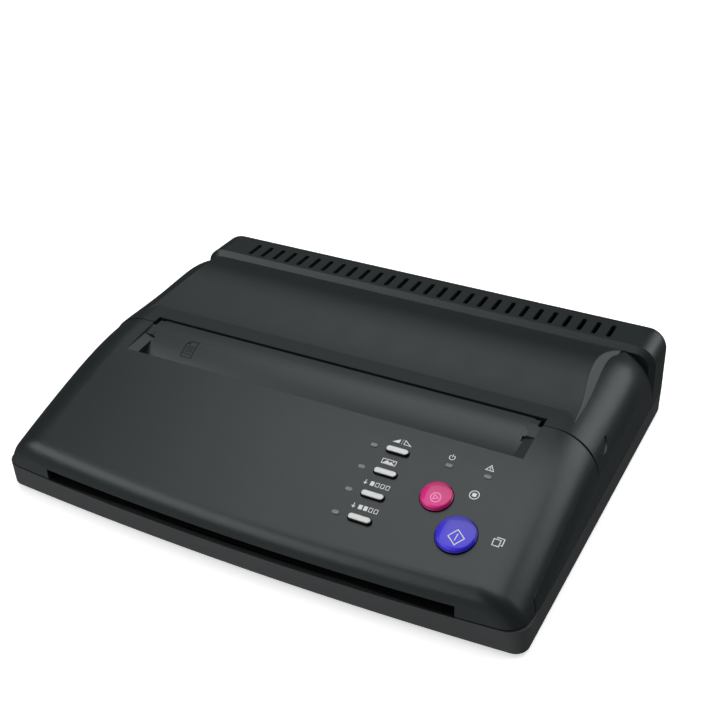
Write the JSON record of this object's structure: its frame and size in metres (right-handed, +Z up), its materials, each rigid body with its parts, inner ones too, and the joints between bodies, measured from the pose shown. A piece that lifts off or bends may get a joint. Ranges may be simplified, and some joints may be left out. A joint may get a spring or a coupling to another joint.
{
  "type": "thermal stencil copier",
  "caption": "Low, sloping black sheet copier with a hinged front cover, key field, sheet slots, raised vent band and a driven roller mechanism inside.",
  "frame": {"origin": "on the table under the middle of the case, at the middle of its bounding box's bottom (within 1 mm in Y, because the front wall is bowed)", "axes": "+X to the right as seen by the user at the front, -Y towards the user, +Z up"},
  "size_m": [0.275, 0.2139, 0.0607],
  "materials": {
    "case_black": "fine textured moulding",
    "key_white": "satin",
    "key_magenta": "satin",
    "key_violet": "satin",
    "lens_grey": "clear",
    "board_green": "solder mask",
    "component_black": "moulded",
    "steel": "plain",
    "zinc_plate": "zinc plated sheet",
    "spring_steel": "drawn wire",
    "roller_rubber": "ground",
    "foot_rubber": "moulded",
    "gear_white": "acetal",
    "bushing_black": "acetal",
    "brass_gear": "machined",
    "aluminium": "extruded",
    "head_ceramic": null,
    "glass": "clear",
    "motor_can": "zinc plated"
  },
  "bodies": {
    "case": {"lower_case": "case_black", "upper_housing": "case_black", "side_frame_left": "zinc_plate", "side_frame_right": "zinc_plate", "cross_bar": "zinc_plate", "bushings": "bushing_black", "idler_posts": "steel", "entry_guide": "component_black", "exit_guide": "component_black", "stencil_guide": "component_black", "drive_motor": "motor_can", "main_board": "board_green", "board_components": "component_black", "board_spacers": "steel", "dc_jack": "component_black", "power_switch_body": "component_black", "document_sensor_bracket": "component_black", "rubber_feet": "foot_rubber", "case_screws": "steel", "latch_springs": "spring_steel", "head_springs": "spring_steel", "scanner_springs": "spring_steel"},
    "cover": {"control_panel": "case_black", "keypad_board": "board_green", "tact_switches": "component_black", "indicator_lenses": "lens_grey", "keypad_screws": "steel", "hinge_pins": "steel"},
    "latch_left": {"latch_button_left": "case_black"},
    "latch_right": {"latch_button_right": "case_black"},
    "mode_1_button": {"mode_key_1": "key_white"},
    "mode_2_button": {"mode_key_2": "key_white"},
    "mode_3_button": {"mode_key_3": "key_white"},
    "mode_4_button": {"mode_key_4": "key_white"},
    "stop_button": {"stop_key": "key_magenta"},
    "copy_button": {"copy_key": "key_violet"},
    "platen": {"platen_shaft": "steel", "platen_rubber": "roller_rubber", "platen_gear": "gear_white"},
    "idler_1": {"idler_gear_1": "gear_white"},
    "idler_2": {"idler_gear_2": "gear_white"},
    "feed_roller": {"feed_roller_shaft": "steel", "feed_roller_rubber": "roller_rubber", "feed_gear": "gear_white"},
    "exit_roller": {"exit_roller_shaft": "steel", "exit_roller_tyres": "roller_rubber", "exit_gear": "gear_white"},
    "motor_rotor": {"motor_shaft": "steel", "motor_pinion": "brass_gear"},
    "scanner": {"scanner_bar": "component_black", "scanner_glass": "glass"},
    "head": {"thermal_head": "head_ceramic", "head_heat_sink": "aluminium"},
    "sensor_lever": {"document_sensor_lever": "component_black"},
    "rocker": {"power_rocker": "component_black"}
  },
  "joints": [
    {"name": "cover_hinge", "type": "hinge", "parent": "case", "child": "cover", "pos_m": [0, -0.1023, 0.0196], "axis": [1, 0, 0], "range_deg": [0, 33]},
    {"name": "latch_left_slide", "type": "slide", "parent": "case", "child": "latch_left", "axis": [1, 0, 0], "range_m": [0, 0.002], "stiffness_N_per_m": 900, "springref_m": -0.001, "deforming": ["latch_springs"]},
    {"name": "latch_right_slide", "type": "slide", "parent": "case", "child": "latch_right", "axis": [-1, 0, 0], "range_m": [0, 0.002], "stiffness_N_per_m": 900, "springref_m": -0.001, "deforming": ["latch_springs"]},
    {"name": "mode_1_press", "type": "slide", "parent": "cover", "child": "mode_1_button", "axis": [0, 0.3007, -0.9537], "range_m": [0, 0.0007], "stiffness_N_per_m": 700, "springref_m": -0.0004},
    {"name": "mode_2_press", "type": "slide", "parent": "cover", "child": "mode_2_button", "axis": [0, 0.3007, -0.9537], "range_m": [0, 0.0007], "stiffness_N_per_m": 700, "springref_m": -0.0004},
    {"name": "mode_3_press", "type": "slide", "parent": "cover", "child": "mode_3_button", "axis": [0, 0.3007, -0.9537], "range_m": [0, 0.0007], "stiffness_N_per_m": 700, "springref_m": -0.0004},
    {"name": "mode_4_press", "type": "slide", "parent": "cover", "child": "mode_4_button", "axis": [0, 0.3007, -0.9537], "range_m": [0, 0.0007], "stiffness_N_per_m": 700, "springref_m": -0.0004},
    {"name": "stop_press", "type": "slide", "parent": "cover", "child": "stop_button", "axis": [0, 0.3007, -0.9537], "range_m": [0, 0.0007], "stiffness_N_per_m": 700, "springref_m": -0.0004},
    {"name": "copy_press", "type": "slide", "parent": "cover", "child": "copy_button", "axis": [0, 0.3007, -0.9537], "range_m": [0, 0.0007], "stiffness_N_per_m": 700, "springref_m": -0.0004},
    {"name": "platen_spin", "type": "hinge", "parent": "case", "child": "platen", "pos_m": [0.119, 0.0083, 0.03], "axis": [1, 0, 0], "continuous": true},
    {"name": "idler_1_spin", "type": "hinge", "parent": "case", "child": "idler_1", "pos_m": [0.119, -0.01953, 0.02609], "axis": [1, 0, 0], "continuous": true},
    {"name": "idler_2_spin", "type": "hinge", "parent": "case", "child": "idler_2", "pos_m": [0.119, -0.04537, 0.02246], "axis": [1, 0, 0], "continuous": true},
    {"name": "feed_spin", "type": "hinge", "parent": "case", "child": "feed_roller", "pos_m": [0.119, -0.06725, 0.0256], "axis": [1, 0, 0], "continuous": true},
    {"name": "exit_spin", "type": "hinge", "parent": "case", "child": "exit_roller", "pos_m": [0.119, -0.08044, 0.01637], "axis": [1, 0, 0], "continuous": true},
    {"name": "motor_spin", "type": "hinge", "parent": "case", "child": "motor_rotor", "pos_m": [0.119, 0.02908, 0.03366], "axis": [1, 0, 0], "continuous": true},
    {"name": "sensor_lever_swing", "type": "hinge", "parent": "case", "child": "sensor_lever", "pos_m": [0.063, -0.049, 0.0208], "axis": [1, 0, 0], "range_deg": [0, 26], "stiffness_Nm_per_rad": 0.0004, "springref_deg": -11.46},
    {"name": "power_rocker_tilt", "type": "hinge", "parent": "case", "child": "rocker", "pos_m": [-0.07, 0.1019, 0.032], "axis": [1, 0, 0], "range_deg": [0, 14]},
    {"name": "scanner_float", "type": "slide", "parent": "case", "child": "scanner", "axis": [0, 0, -1], "range_m": [0, 0.001], "stiffness_N_per_m": 1500, "springref_m": -0.0015, "deforming": ["scanner_springs"]},
    {"name": "head_float", "type": "slide", "parent": "case", "child": "head", "axis": [0, -1, 0], "range_m": [0, 0.001], "stiffness_N_per_m": 2500, "springref_m": -0.0015, "deforming": ["head_springs"]}
  ],
  "couplings": [
    {"joint": "idler_1_spin", "follows": "platen_spin", "ratio": -1.1538},
    {"joint": "idler_2_spin", "follows": "platen_spin", "ratio": 1.1538},
    {"joint": "feed_spin", "follows": "platen_spin", "ratio": -1.6667},
    {"joint": "exit_spin", "follows": "platen_spin", "ratio": 2.1429},
    {"joint": "motor_spin", "follows": "platen_spin", "ratio": -2.5}
  ]
}
